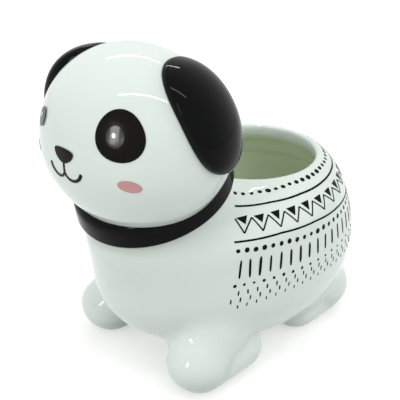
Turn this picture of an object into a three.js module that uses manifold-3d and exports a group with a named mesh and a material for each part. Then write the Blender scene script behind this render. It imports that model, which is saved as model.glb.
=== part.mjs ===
// A glazed ceramic planter in the shape of a puppy, in millimetres.
// +Z is up, the puppy looks along -Y and its left side is +X. Places on Y below are measured
// from a line across the ground near the middle; at the end the whole planter shifts along Y,
// so that the origin is on the ground in the middle of the box that it fills.
import * as THREE from 'three';
import { mergeVertices } from 'three/addons/utils/BufferGeometryUtils.js';
import Module from 'manifold-3d';

const wasm = await Module();
wasm.setup();

// Clearances
const seam = 0.3; // between two parts that are luted or printed on each other
const plugFit = 0.3; // round the stopper in the drain hole
const past = 1; // how far a cutter goes past the face that it cuts
const farOut = 80; // a length that no part reaches

// Pot body: the outside swells from its foot to the belly and draws in to the shoulder.
// Front and rear are places on Y, half is half the width.
const footHalf = 16;
const footFront = 1;
const footRear = 37;
const bellyHeight = 41;
const bellyHalf = 48.5;
const bellyFront = -59;
const bellyRear = 73;
const shoulderHeight = 66;
const shoulderHalf = 46;
const shoulderFront = -64;
const shoulderRear = 66.5;
const bodyTaper = 0.14; // how much narrower the body is at the chest than at the rump
// Powers of the curves from foot to belly and from shoulder to lip, where 2 is an ellipse
const chestFullness = 1.75;
const flankFullness = 1.85;
const rumpFullness = 2.6;
const shoulderFullness = 1.35;
const bodyWall = 5;
const floorThickness = 7;

// Opening of the pot, with a rolled lip
const openingY = 25.5;
const openingHalfWidth = 28;
const openingHalfLength = 29;
const rimHeight = 79;
const lipRound = 1.5; // radius of the lip's inner edge
const lipDepth = 6; // from the rim down to the undercut below the lip

// Neck and collar, on one axis that leans forward
const neckTilt = 20; // degrees
const neckY = -35; // centre of the neck's top
const neckHeight = 86;
const neckRadius = 27.3;
const neckFlare = 7; // how much wider the neck is at its root
const neckLength = 30;
const neckWall = 4.5;
const collarHeight = 10.8;
const collarThickness = 5.5;
const collarEdge = 1; // thickness of the band's upper and lower edge
const collarRoundness = 0.35; // power of the curve across the band, where 1 is an ellipse
const collarBrow = 2; // by how much the band draws in towards its upper edge
const collarDrop = 0.8; // from the neck's top down to the band's middle

// Head, an egg with its own small nod
const headForward = 6.9; // of its centre from the neck's top
const headRise = 18.5;
const headHalfWidth = 40;
const headHalfLength = 33.2;
const headHalfHeight = 36.8;
const headNod = 3.3; // degrees
const headChin = 0.22; // share by which the egg draws in towards its lower end
const headWall = 4.5;

// Ears, thick lobes that lie on the sides of the head
const leftEarAround = 106.5; // degrees from straight ahead to the lobe's middle
const leftEarUp = 30; // degrees above the head's middle
const rightEarAround = 99; // this ear hangs lower
const rightEarUp = 19;
const earHalfWidth = 20.8; // as laid out flat
const earHalfLength = 28.4;
const earSquareness = 2.3; // power of the lobe's outline, 2 is an ellipse
const earLean = -5; // degrees
const earThickness = 4.8;
const earRoot = 1.8; // thickness near the crown
const earThinning = 5; // power of the curve by which it thins towards the crown
const earEdge = 1; // thickness where the lobe ends
const earRoundness = 4; // power of the curve that rounds the lobe off to its edge

// Paws, placed from the belly's side and its front or rear
const frontPawInset = 20;
const frontPawSetback = 10.5; // of its tip
const frontPawLength = 45.5;
const frontPawWidth = 24.5;
const frontPawHeight = 19.5;
const rearPawInset = 19.8;
const rearPawSetback = 20; // of its heel
const rearPawLength = 38;
const rearPawWidth = 23;
const rearPawHeight = 20;
const pawSole = 1; // how far the sole is ground flat

// Toes, upper arm and haunch, the rounded masses above the paws, with their middles measured
// from the paw's own line and from its tip or heel, and their half sizes
const toesSetback = 12;
const toesUp = 12.7;
const toesHalf = [13.4, 13.4, 13];
const armInset = 5;
const armSetback = 22.5;
const armUp = 21;
const armHalf = [15.5, 17, 17];
const haunchInset = 4;
const haunchSetback = 9;
const haunchUp = 13;
const haunchHalf = [17, 17, 15];

// Printed and raised marks on the face
const printThickness = 0.4;
const eyeThickness = 0.9;
const eyeHalfWidth = 3.2;
const eyeHalfHeight = 3.7;
const leftEyeAround = 38; // degrees from straight ahead
const leftEyeUp = 24.5;
const rightEyeAround = 33;
const rightEyeUp = 20.5;
const patchAround = 37;
const patchUp = 22;
const patchHalf = 9; // about half its width and height
const noseUp = 4.4; // middle of the nose above the head's centre
const noseHalf = 5.2; // half its width
const mouthHalf = 8.3; // from the middle out to the end of the line
const mouthLine = 1; // width of the painted line
const mouthEndLine = 1.3; // at its outer ends
const cheekAround = 45.5;
const cheekUp = -3;
const cheekHalfWidth = 4.3;
const cheekHalfHeight = 2.2;

// Drain hole in the middle of the foot, and its rubber stopper
const drainRadius = 5;
const plugFlangeRadius = 8;
const plugFlange = 2.5;
const plugSeat = 1.2; // depth of the recess in the floor that the flange lies in
const plugRecess = 1.5; // from the ground to the stopper's lower end
const plugGrip = 3; // height of the knob that it is pulled out by
const plugGripRadius = 3.5;

// Fineness of the meshes
const around = 48;
const headRows = 18;
const hollowAround = 32; // for the inside of the head
const hollowRows = 12;

const deg = Math.PI / 180;
const clayWhite = 0xdfe7df;
const glazeBlack = 0x141513;
const enamelBlack = 0x1d1815;
const cheekPink = 0xc6898a;
const rubberGrey = 0x3a3d3a;

// Closed mesh from rings of points, with a point that closes each end
function ringSolid(start, rings, end) {
  const count = rings[0].length;
  const points = [start, ...rings.flat(), end];
  const last = points.length - 1;
  const at = (ring, i) => 1 + ring * count + (i % count);
  const index = [];
  for (let i = 0; i < count; i += 1) {
    index.push(0, at(0, i + 1), at(0, i));
    index.push(last, at(rings.length - 1, i), at(rings.length - 1, i + 1));
    for (let ring = 0; ring + 1 < rings.length; ring += 1) {
      index.push(at(ring, i), at(ring, i + 1), at(ring + 1, i + 1));
      index.push(at(ring, i), at(ring + 1, i + 1), at(ring + 1, i));
    }
  }
  const geometry = new THREE.BufferGeometry().setFromPoints(points);
  geometry.setIndex(index);
  return solid(geometry);
}

function solid(geometry) {
  const bare = geometry.clone();
  bare.deleteAttribute('normal');
  bare.deleteAttribute('uv');
  const merged = mergeVertices(bare, 1e-4);
  const vertProperties = new Float32Array(merged.attributes.position.array);
  const triVerts = new Uint32Array(merged.index.array);
  return new wasm.Manifold(new wasm.Mesh({ numProp: 3, vertProperties, triVerts }));
}

function geometryOf(body) {
  const mesh = body.getMesh();
  const geometry = new THREE.BufferGeometry();
  geometry.setAttribute('position', new THREE.BufferAttribute(mesh.vertProperties, 3));
  geometry.setIndex(new THREE.BufferAttribute(mesh.triVerts, 1));
  return geometry;
}

const mirrored = (body) => body.mirror([1, 0, 0]);

// Egg-shaped ring, broad at the rear and narrower at the front by the taper
function eggRing(section, z, taper = 0) {
  const middle = (section.front + section.rear) / 2;
  const reach = (section.rear - section.front) / 2;
  const ring = [];
  for (let i = 0; i < around; i += 1) {
    const angle = (i / around) * 2 * Math.PI;
    const x = section.half * Math.cos(angle) * (1 + taper * Math.sin(angle));
    ring.push(new THREE.Vector3(x, middle + reach * Math.sin(angle), z));
  }
  return ring;
}

const blend = (a, b, t) => ({
  half: a.half + (b.half - a.half) * t,
  front: a.front + (b.front - a.front) * t,
  rear: a.rear + (b.rear - a.rear) * t,
});

const grown = (section, by) => ({
  half: section.half + by,
  front: section.front - by,
  rear: section.rear + by,
});

const foot = { half: footHalf, front: footFront, rear: footRear };
const belly = { half: bellyHalf, front: bellyFront, rear: bellyRear };
const shoulder = { half: shoulderHalf, front: shoulderFront, rear: shoulderRear };
const opening = {
  half: openingHalfWidth,
  front: openingY - openingHalfLength,
  rear: openingY + openingHalfLength,
};
const footMiddle = (footFront + footRear) / 2;

// Outside of the body at a height between the ground and the shoulder
function bodyAt(z) {
  if (z > bellyHeight) {
    const t = (z - bellyHeight) / (shoulderHeight - bellyHeight);
    return blend(belly, shoulder, t * t);
  }
  const swell = (power) => (1 - (1 - z / bellyHeight) ** power) ** (1 / power);
  return {
    half: blend(foot, belly, swell(flankFullness)).half,
    front: blend(foot, belly, swell(chestFullness)).front,
    rear: blend(foot, belly, swell(rumpFullness)).rear,
  };
}

const lipTop = grown(opening, lipRound);

// Dome from the shoulder in to the lip, a quarter of an ellipse
function domeRings(from, to, low, high, steps) {
  const rings = [];
  for (let i = 1; i <= steps; i += 1) {
    const angle = (i / steps) * (Math.PI / 2);
    const t = 1 - Math.cos(angle) ** (2 / shoulderFullness);
    const z = low + (high - low) * Math.sin(angle) ** (2 / shoulderFullness);
    rings.push(eggRing(blend(from, to, t), z, bodyTaper * (1 - t)));
  }
  return rings;
}

function steps(low, high, count, ease = 1) {
  const list = [];
  for (let i = 0; i <= count; i += 1) list.push(low + (high - low) * (i / count) ** ease);
  return list;
}

function bodyOutside(grow = 0) {
  const heights = [...steps(0, bellyHeight, 6, 2), ...steps(bellyHeight, shoulderHeight, 2).slice(1)];
  const rings = heights.map((z) => eggRing(grown(bodyAt(z), grow), z, bodyTaper));
  const wide = grown(shoulder, grow);
  rings.push(...domeRings(wide, grown(lipTop, grow), shoulderHeight, rimHeight + grow, 5));
  const top = new THREE.Vector3(0, openingY, rimHeight + grow);
  return ringSolid(new THREE.Vector3(0, footMiddle, 0), rings, top);
}

// Hollow of the pot, with the flare that rounds the lip and the undercut below it
function bodyHollow() {
  const undercut = rimHeight - lipDepth;
  const inside = grown(bodyAt(shoulderHeight), -bodyWall);
  const low = floorThickness;
  const heights = [...steps(low, bellyHeight, 4, 1.6), shoulderHeight - bodyWall];
  const rings = heights.map((z) => eggRing(grown(bodyAt(z), -bodyWall), z, bodyTaper));
  rings.push(...domeRings(inside, opening, shoulderHeight - bodyWall, undercut, 3));
  const flareSteps = 2;
  for (let i = 0; i <= flareSteps; i += 1) {
    const angle = (i / flareSteps) * (Math.PI / 2);
    const z = rimHeight - lipRound * (1 - Math.sin(angle));
    rings.push(eggRing(grown(opening, lipRound * (1 - Math.cos(angle))), z));
  }
  rings.push(eggRing(lipTop, rimHeight + past));
  const end = new THREE.Vector3(0, openingY, rimHeight + past);
  return ringSolid(new THREE.Vector3(0, footMiddle, low), rings, end);
}

// Anything turned about the leaning neck axis: the profile is [radius, height above its top]
const neckAxis = new THREE.Vector3(0, -Math.sin(neckTilt * deg), Math.cos(neckTilt * deg));
const neckTop = new THREE.Vector3(0, neckY, neckHeight);

function onNeck(profile) {
  const geometry = new THREE.LatheGeometry(profile.map(([r, z]) => new THREE.Vector2(r, z)), around);
  geometry.rotateX(Math.PI / 2);
  geometry.rotateX(neckTilt * deg);
  geometry.translate(neckTop.x, neckTop.y, neckTop.z);
  return solid(geometry);
}

function neckProfile(radius, top) {
  const profile = [[0, -neckLength]];
  const count = 5;
  for (let i = 0; i <= count; i += 1) {
    const t = 1 - i / count;
    profile.push([radius + neckFlare * t * t, -neckLength * t]);
  }
  if (top > 0) profile.push([radius, top]);
  profile.push([0, top]);
  return profile;
}

function cylinder(radius, low, high, sides = 24) {
  const geometry = new THREE.CylinderGeometry(radius, radius, high - low, sides);
  geometry.rotateX(Math.PI / 2);
  geometry.translate(0, footMiddle, (low + high) / 2);
  return solid(geometry);
}

// Head: a point on the egg grown by some amount, in the direction given by two angles
const nod = new THREE.Matrix4().makeRotationX(headNod * deg);
const headCentre = new THREE.Vector3(0, neckY - headForward, neckHeight + headRise);

function direction(sideways, up) {
  const a = sideways * deg;
  const e = up * deg;
  return new THREE.Vector3(Math.sin(a) * Math.cos(e), -Math.cos(a) * Math.cos(e), Math.sin(e));
}

function onHead(unit, grow) {
  const drawn = 1 - headChin * Math.min(0, unit.z) ** 2;
  const point = new THREE.Vector3(
    unit.x * drawn * (headHalfWidth + grow),
    unit.y * drawn * (headHalfLength + grow),
    unit.z * (headHalfHeight + grow),
  );
  return point.applyMatrix4(nod).add(headCentre);
}

function headEgg(grow, rows = headRows, count = around) {
  const rings = [];
  for (let row = 1; row < rows; row += 1) {
    const up = -90 + (180 * row) / rows;
    const ring = [];
    for (let i = 0; i < count; i += 1) ring.push(onHead(direction(90 + (360 * i) / count, up), grow));
    rings.push(ring);
  }
  const down = new THREE.Vector3(0, 0, -1);
  return ringSolid(onHead(down, grow), rings, onHead(down.clone().negate(), grow));
}

// Lobe of an ear: an oval on the head, thin at the crown, full lower down, with a round edge
function ear(sideways, up) {
  const axis = direction(sideways, up);
  const side = direction(sideways + 90, 0);
  const upward = new THREE.Vector3().crossVectors(side, axis).negate();
  const lean = earLean * deg;
  const count = 32;
  const rounded = (part) => Math.sign(part) * Math.abs(part) ** (2 / earSquareness);
  const thickness = (reach, height) => {
    const thinned = ((1 + reach * height) / 2) ** earThinning;
    const full = earThickness + (earRoot - earThickness) * thinned;
    return earEdge + (full - earEdge) * Math.sqrt(1 - reach ** earRoundness);
  };
  const ring = (reach, raised) => {
    const points = [];
    for (let i = 0; i < count; i += 1) {
      const angle = (i / count) * 2 * Math.PI;
      const u = reach * (earHalfWidth / headHalfWidth) * rounded(Math.cos(angle));
      const v = reach * (earHalfLength / headHalfWidth) * rounded(Math.sin(angle));
      const a = u * Math.cos(lean) - v * Math.sin(lean);
      const b = u * Math.sin(lean) + v * Math.cos(lean);
      const unit = axis.clone().addScaledVector(side, a).addScaledVector(upward, b).normalize();
      points.push(onHead(unit, seam + (raised ? thickness(reach, Math.sin(angle)) : 0)));
    }
    return points;
  };
  // Rings out along the head to the lobe's edge, then back over its outside
  const inner = [0.33, 0.66, 1].map((reach) => ring(reach, false));
  const outer = [1, 0.97, 0.9, 0.75, 0.5, 0.25].map((reach) => ring(reach, true));
  return ringSolid(onHead(axis, seam), [...inner, ...outer], onHead(axis, seam + thickness(0, 0)));
}

// Forearm or foot that lies on the ground along Y, with round ends
function paw(inset, tip, length, width, height) {
  const x = bellyHalf - inset;
  const geometry = new THREE.SphereGeometry(1, 24, 14);
  geometry.rotateX(Math.PI / 2);
  const straight = (length - width) / 2;
  const position = geometry.attributes.position;
  for (let i = 0; i < position.count; i += 1) {
    const y = position.getY(i);
    const end = Math.abs(y) < 1e-6 ? 0 : Math.sign(y) * straight;
    position.setXYZ(
      i,
      x + (width / 2) * position.getX(i),
      tip + length / 2 + end + (width / 2) * y,
      (height / 2) * (1 + position.getZ(i)) - pawSole,
    );
  }
  return solid(geometry);
}

// Rounded mass given by its middle and its half sizes
function lobe(x, y, z, half) {
  const geometry = new THREE.SphereGeometry(1, 28, 16);
  geometry.rotateX(Math.PI / 2);
  geometry.scale(...half);
  geometry.translate(x, y, z);
  return solid(geometry);
}

// Everything below the ground, to cut soles flat
const below = solid(new THREE.BoxGeometry(2 * farOut, 2 * farOut, farOut).translate(0, 0, -farOut / 2));

// Thin plate on the head under an outline, which is drawn in millimetres on a plane
// that faces the given direction
function mark(outline, sideways, up, high, low = seam) {
  const shape = new THREE.Shape(outline);
  const prism = new THREE.ExtrudeGeometry(shape, { depth: farOut, bevelEnabled: false });
  const facing = direction(sideways, up);
  const right = direction(sideways + 90, 0);
  const upward = new THREE.Vector3().crossVectors(facing, right);
  prism.applyMatrix4(new THREE.Matrix4().makeBasis(right, upward, facing).setPosition(headCentre));
  return solid(prism).intersect(headEgg(high)).subtract(headEgg(low));
}

function ovalOutline(halfWidth, halfHeight, count = 20) {
  const points = [];
  for (let i = 0; i < count; i += 1) {
    const angle = (i / count) * 2 * Math.PI;
    points.push(new THREE.Vector2(halfWidth * Math.cos(angle), halfHeight * Math.sin(angle)));
  }
  return points;
}

// Smooth outline through points that are given as parts of a size
function smoothOutline(size, points, count = 26) {
  const places = points.map(([x, y]) => new THREE.Vector3(x * size, y * size, 0));
  const curve = new THREE.CatmullRomCurve3(places, true);
  return curve.getSpacedPoints(count).slice(0, count).map((point) => new THREE.Vector2(point.x, point.y));
}

// Outline of a painted line along a path that is given as parts of a size
function lineOutline(size, path, width, endWidth = width, count = 8) {
  const places = path.map(([x, y]) => new THREE.Vector3(x * size, y * size, 0));
  const curve = new THREE.CatmullRomCurve3(places);
  const left = [];
  const right = [];
  for (let i = 0; i <= count; i += 1) {
    const point = curve.getPoint(i / count);
    const along = curve.getTangent(i / count);
    const half = (width + (endWidth - width) * (i / count)) / 2;
    left.push(new THREE.Vector2(point.x - along.y * half, point.y + along.x * half));
    right.unshift(new THREE.Vector2(point.x + along.y * half, point.y - along.x * half));
  }
  return [...left, ...right].reverse();
}

const part = new THREE.Group();

function add(name, body, colour, roughness) {
  const material = new THREE.MeshStandardMaterial({ color: colour, roughness, metalness: 0 });
  const mesh = new THREE.Mesh(geometryOf(body), material);
  mesh.name = name;
  part.add(mesh);
}

function addPair(name, body, colour, roughness) {
  add(`${name}_left`, body, colour, roughness);
  add(`${name}_right`, mirrored(body), colour, roughness);
}

// Pot body with its neck, the drain hole and the stopper's seat
const neck = onNeck(neckProfile(neckRadius, 0));
const neckHollow = onNeck(neckProfile(neckRadius - neckWall, past));
const seatHeight = floorThickness - plugSeat;
const drain = cylinder(drainRadius, -past, floorThickness + past);
const seat = cylinder(plugFlangeRadius + plugFit, seatHeight, floorThickness + past);
const hollows = [bodyHollow(), neckHollow, drain, seat];
const potBody = hollows.reduce((body, hollow) => body.subtract(hollow), bodyOutside().add(neck));
add('pot_body', potBody, clayWhite, 0.15);

// Head, cut flat where it sits on the neck
const underHead = onNeck([[0, -farOut], [farOut, -farOut], [farOut, seam], [0, seam]]);
const headHollow = headEgg(-headWall, hollowRows, hollowAround);
add('head', headEgg(0).subtract(headHollow).subtract(underHead), clayWhite, 0.15);

// Collar round the seam, with the head bulging over its top
function collarBand() {
  const profile = [[neckRadius, -collarDrop - collarHeight / 2]];
  const count = 6;
  for (let i = 0; i <= count; i += 1) {
    const angle = (-90 + (180 * i) / count) * deg;
    const bulge = (collarThickness - collarEdge) * Math.cos(angle) ** collarRoundness;
    const drawn = collarBrow * ((1 + Math.sin(angle)) / 2) ** 3 * Math.cos(angle);
    const height = -collarDrop + (collarHeight / 2) * Math.sin(angle);
    profile.push([neckRadius + collarEdge + bulge - drawn, height]);
  }
  profile.push([neckRadius, -collarDrop + collarHeight / 2], profile[0]);
  return onNeck(profile);
}
const neckGrown = onNeck(neckProfile(neckRadius + seam, collarHeight));
const collar = collarBand().subtract(neckGrown).subtract(headEgg(seam)).subtract(bodyOutside(seam));
add('collar', collar, glazeBlack, 0.1);

add('ear_left', ear(leftEarAround, leftEarUp), glazeBlack, 0.1);
add('ear_right', mirrored(ear(rightEarAround, rightEarUp)), glazeBlack, 0.1);

// Paws with the masses above them, cut a seam short of the body
const frontTip = bellyFront + frontPawSetback;
const rearHeel = bellyRear - rearPawSetback;
const rearTip = rearHeel - rearPawLength;
const frontX = bellyHalf - frontPawInset;
const haunchX = bellyHalf - rearPawInset - haunchInset;
const toes = lobe(frontX, frontTip + toesSetback, toesUp, toesHalf);
const arm = lobe(frontX - armInset, frontTip + armSetback, armUp, armHalf);
const haunch = lobe(haunchX, rearHeel - haunchSetback, haunchUp, haunchHalf);
const frontPaw = paw(frontPawInset, frontTip, frontPawLength, frontPawWidth, frontPawHeight);
const rearPaw = paw(rearPawInset, rearTip, rearPawLength, rearPawWidth, rearPawHeight);
const limbs = [
  ['front_paw', frontPaw.add(toes).add(arm)],
  ['rear_paw', rearPaw.add(haunch)],
];
for (const [name, blank] of limbs) {
  addPair(name, blank.subtract(below).subtract(bodyOutside(seam)), clayWhite, 0.15);
}

// Eye patch on the left with the left eye in its opening, and the bare right eye
const raised = seam + eyeThickness;
const printed = seam + printThickness;
const eyeOutline = ovalOutline(eyeHalfWidth, eyeHalfHeight);
const eyeOpening = mark(
  ovalOutline(eyeHalfWidth + seam, eyeHalfHeight + seam), leftEyeAround, leftEyeUp, raised, 0);
const patchOutline = smoothOutline(patchHalf, [
  [-0.77, 0.06], [-0.62, 0.59], [-0.06, 1.21], [0.46, 1.13], [0.87, 0.86],
  [1.2, 0.12], [0.81, -0.66], [0.4, -0.82], [-0.1, -0.74], [-0.51, -0.5],
]);
const patch = mark(patchOutline, patchAround, patchUp, printed).subtract(eyeOpening);
add('eye_patch', patch, enamelBlack, 0.2);
add('eye_left', mark(eyeOutline, leftEyeAround, leftEyeUp, raised), enamelBlack, 0.15);
const rightEye = mirrored(mark(eyeOutline, rightEyeAround, rightEyeUp, raised));
add('eye_right', rightEye, enamelBlack, 0.15);

// Nose, a triangle with round corners, and the mouth below it
const noseOutline = smoothOutline(noseHalf, [
  [-1, 0.36], [-0.6, 0.49], [0, 0.53], [0.6, 0.49], [1, 0.36],
  [0.79, -0.17], [0.26, -0.51], [-0.26, -0.51], [-0.79, -0.17],
]);
for (const point of noseOutline) point.y += noseUp;
add('nose', mark(noseOutline, 0, 0, printed), enamelBlack, 0.3);
const lipPath = [
  [0, -0.25], [0.14, -0.45], [0.39, -0.55],
  [0.67, -0.49], [0.89, -0.33], [1, -0.14],
];
const lip = mark(lineOutline(mouthHalf, lipPath, mouthLine, mouthEndLine), 0, 0, printed);
const stemPath = [[0, 0.16], [0, -0.3]];
const stem = mark(lineOutline(mouthHalf, stemPath, mouthLine, mouthLine, 1), 0, 0, printed);
add('mouth', stem.add(lip).add(mirrored(lip)), enamelBlack, 0.3);

const cheek = mark(ovalOutline(cheekHalfWidth, cheekHalfHeight), cheekAround, cheekUp, printed);
addPair('cheek', cheek, cheekPink, 0.3);

// Stopper: a shank in the drain hole, a flange in its seat and a knob
const flangeLow = seatHeight + seam;
const flangeTop = flangeLow + plugFlange;
const shank = cylinder(drainRadius - plugFit, plugRecess, flangeLow);
const flange = cylinder(plugFlangeRadius, flangeLow, flangeTop);
const knob = cylinder(plugGripRadius, flangeTop, flangeTop + plugGrip, 16);
add('drain_plug', shank.add(flange).add(knob), rubberGrey, 0.7);

// The middle of the box goes to the origin
const box = new THREE.Box3().setFromObject(part);
part.position.y = -(box.min.y + box.max.y) / 2;

export default part;
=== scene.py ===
import math
import random
import bmesh
import bpy
from mathutils import Matrix, Vector
from mathutils.bvhtree import BVHTree


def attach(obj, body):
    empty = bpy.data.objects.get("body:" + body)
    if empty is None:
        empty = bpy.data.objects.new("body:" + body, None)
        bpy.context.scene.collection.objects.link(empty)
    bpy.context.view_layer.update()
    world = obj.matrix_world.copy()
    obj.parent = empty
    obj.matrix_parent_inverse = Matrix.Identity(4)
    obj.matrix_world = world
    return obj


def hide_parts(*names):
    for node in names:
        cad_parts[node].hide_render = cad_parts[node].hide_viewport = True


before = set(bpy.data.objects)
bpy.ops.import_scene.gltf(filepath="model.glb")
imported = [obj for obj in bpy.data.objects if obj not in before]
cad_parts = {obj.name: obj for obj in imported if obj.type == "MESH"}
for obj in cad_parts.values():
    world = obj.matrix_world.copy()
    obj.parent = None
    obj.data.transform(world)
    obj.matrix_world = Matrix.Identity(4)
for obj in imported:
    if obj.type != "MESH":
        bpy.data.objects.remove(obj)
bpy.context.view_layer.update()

bpy.context.scene.view_settings.view_transform = "Standard"
mm = 0.001
shiftY = 1.372  # the planter's own line on Y to the middle of its box, in mm
dice = random.Random(7)  # how the hand strays, the same on each run


# Working with objects and meshes
def only(piece):
    bpy.ops.object.select_all(action="DESELECT")
    piece.select_set(True)
    bpy.context.view_layer.objects.active = piece


def openMesh(piece, mode="VERT"):
    only(piece)
    bpy.ops.object.mode_set(mode="EDIT")
    bpy.ops.mesh.select_mode(type=mode)
    bpy.ops.mesh.select_all(action="SELECT")


def closeMesh():
    bpy.ops.object.mode_set(mode="OBJECT")


def added(name):
    piece = bpy.context.view_layer.objects.active
    piece.name = name
    piece.data.name = name
    only(piece)
    bpy.ops.object.transform_apply(location=True, rotation=True, scale=True)
    return piece


def tidyNormals(piece, gap=1e-6):
    openMesh(piece)
    bpy.ops.mesh.remove_doubles(threshold=gap)
    bpy.ops.mesh.normals_make_consistent(inside=False)
    closeMesh()


def modify(piece, kind, **settings):
    only(piece)
    modifier = piece.modifiers.new(kind.lower(), kind)
    for name, value in settings.items():
        setattr(modifier, name, value)
    bpy.ops.object.modifier_apply(modifier=modifier.name)


def cutBy(piece, tool):
    modify(piece, "BOOLEAN", operation="DIFFERENCE", object=tool, solver="EXACT")


def newObject(name, data):
    piece = bpy.data.objects.new(name, data)
    bpy.context.scene.collection.objects.link(piece)
    return piece


def selectWhere(piece, test):
    mesh = bmesh.from_edit_mesh(piece.data)
    for vert in mesh.verts:
        vert.select_set(test(vert.co))
    mesh.select_flush_mode()
    bmesh.update_edit_mesh(piece.data)


def joined(pieces, name):
    only(pieces[0])
    for piece in pieces:
        piece.select_set(True)
    bpy.ops.object.join()
    pieces[0].name = name
    return pieces[0]


# A solid along a profile of (radius, height), from its lower end up
def turned(name, profile, middle=0, segments=96):
    radius, low = profile[0]
    bpy.ops.mesh.primitive_circle_add(vertices=segments, radius=radius * mm, fill_type="NGON",
                                      location=(0, middle * mm, low * mm))
    piece = added(name)
    openMesh(piece)
    for (r0, z0), (r1, z1) in zip(profile, profile[1:]):
        bpy.ops.mesh.extrude_region_move(TRANSFORM_OT_translate={"value": (0, 0, (z1 - z0) * mm)})
        bpy.ops.transform.resize(value=(r1 / r0, r1 / r0, 1),
                                 center_override=(0, middle * mm, z1 * mm))
    closeMesh()
    return piece


def place(piece, body, slotName, material, *nodes, angle=40):
    only(piece)
    bpy.ops.object.shade_smooth_by_angle(angle=math.radians(angle))
    piece.data.materials.clear()
    piece.data.materials.append(material)
    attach(piece, body)
    if nodes:
        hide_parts(*nodes)


# Colours and nodes
def linear(code):
    parts = [int(code[i:i + 2], 16) / 255 for i in (1, 3, 5)]
    return [c / 12.92 if c <= 0.04045 else ((c + 0.055) / 1.055) ** 2.4 for c in parts] + [1]


# Inputs that are given as a socket are linked, and the others are set
def addNode(tree, kind, settings=None, inputs=None):
    node = tree.nodes.new(kind)
    for name, value in (settings or {}).items():
        setattr(node, name, value)
    for socket, value in (inputs or {}).items():
        if isinstance(value, bpy.types.NodeSocket):
            tree.links.new(value, node.inputs[socket])
        else:
            node.inputs[socket].default_value = value
    return node


def newMaterial(name):
    material = bpy.data.materials.new(name)
    material.use_nodes = True
    tree = material.node_tree
    return material, tree, tree.nodes["Principled BSDF"]


# Noise with grains of a size in mm
def noiseAt(tree, at, size, **settings):
    return addNode(tree, "ShaderNodeTexNoise", None,
                   {"Scale": 1 / (size * mm), "Vector": at, **settings}).outputs["Fac"]


def blend(tree, a, b, factor):
    return addNode(tree, "ShaderNodeMix", {"data_type": "RGBA"},
                   {"A": a, "B": b, "Factor": factor}).outputs["Result"]


def ranged(tree, value, limits, settings=None):
    return addNode(tree, "ShaderNodeMapRange", settings,
                   {"Value": value, **limits}).outputs["Result"]


def calculate(tree, operation, a, b):
    return addNode(tree, "ShaderNodeMath", {"operation": operation}, {0: a, 1: b}).outputs["Value"]


# What every look here ends with: its colour, its uneven surface and its gloss
def dress(tree, shader, look, colour, height, depth):
    bump = addNode(tree, "ShaderNodeBump", None,
                   {"Strength": 1, "Distance": depth * mm, "Height": height})
    tree.links.new(bump.outputs["Normal"], shader.inputs["Normal"])
    tree.links.new(colour, shader.inputs["Base Color"])
    shader.inputs["Roughness"].default_value = look["roughness"]
    shader.inputs["IOR"].default_value = look["ior"]


# Glazed earthenware: a white body under a clear gloss glaze, with painted shade that darkens the
# creases at the paws. The glaze gives sharp reflections with a slow waviness. The inside of the
# pot is coloured pale green, paler towards its floor, and the foot is wiped bare. The heights are
# over the ground.
whiteGlaze = {
    "lit": "#dfe9e1", "cloudy": "#d7e3dc", "creaseShadeColour": "#c3d2c9", "inside": "#e8f3d4",
    "insideDeep": "#ecf5e2", "bareClay": "#e6ddcb", "ior": 1.5, "roughness": 0.05,
    "bareRoughness": 0.75, "cloud": 34, "wave": 9, "waveDepth": 0.03,
    "footGlazed": 0.7, "footBare": 0.21, "greenTop": 73, "greenFade": 0.4, "greenLow": 20,
}


def makeWhiteGlaze(name, look, withPot):
    material, tree, shader = newMaterial(name)
    at = addNode(tree, "ShaderNodeTexCoord").outputs["Object"]
    colour = blend(tree, linear(look["lit"]), linear(look["cloudy"]),
                   noiseAt(tree, at, look["cloud"], Detail=2))
    if withPot:
        # painted shade: how near each vertex lies to the creases at the paws
        creaseShade = addNode(tree, "ShaderNodeAttribute", {"attribute_name": "pawCreaseShade"})
        inside = addNode(tree, "ShaderNodeAttribute", {"attribute_name": "potInside"})
        z = addNode(tree, "ShaderNodeSeparateXYZ", None, {"Vector": at}).outputs["Z"]
        top, fade = look["greenTop"], look["greenFade"]
        below = ranged(tree, z, {"From Min": (top + fade) * mm, "From Max": (top - fade) * mm},
                       {"interpolation_type": "SMOOTHSTEP"})
        depth = ranged(tree, z, {"From Min": top * mm, "From Max": look["greenLow"] * mm})
        foot = ranged(tree, z, {"From Min": look["footGlazed"] * mm,
                                "From Max": look["footBare"] * mm})
        # painted shade, darker in the creases at the paws
        colour = blend(tree, colour, linear(look["creaseShadeColour"]), creaseShade.outputs["Fac"])
        greens = blend(tree, linear(look["inside"]), linear(look["insideDeep"]), depth)
        colour = blend(tree, colour, greens,
                       calculate(tree, "MULTIPLY", inside.outputs["Fac"], below))
        colour = blend(tree, colour, linear(look["bareClay"]), foot)
        rough = ranged(tree, foot, {"To Min": look["roughness"], "To Max": look["bareRoughness"]})
        tree.links.new(rough, shader.inputs["Roughness"])
    dress(tree, shader, look, colour, noiseAt(tree, at, look["wave"], Detail=1),
          look["waveDepth"])
    return material


# Black gloss glaze over the raised ears and band, a shade uneven where it was brushed on
blackGlaze = {
    "deep": "#030403", "thin": "#070908", "ior": 1.18, "roughness": 0.05,
    "brush": 14, "wave": 7, "waveDepth": 0.05,
}
# Underglaze enamel of the face marks: brown-black, a little softer in its gloss
enamelBlack = {
    "deep": "#090504", "thin": "#100b08", "ior": 1.2, "roughness": 0.2,
    "brush": 6, "wave": 5, "waveDepth": 0.02,
}
# Transfer print of the rows: a faint green in its black, under a soft gloss
printBlack = {
    "deep": "#060a08", "thin": "#0e1411", "ior": 1.15, "roughness": 0.25,
    "brush": 5, "wave": 4, "waveDepth": 0.02,
}
# Pink enamel of the cheeks, a little mottled and softly glossy
enamelPink = {
    "deep": "#bc8586", "thin": "#ca9897", "ior": 1.5, "roughness": 0.2,
    "brush": 3, "wave": 4, "waveDepth": 0.02,
}
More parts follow.
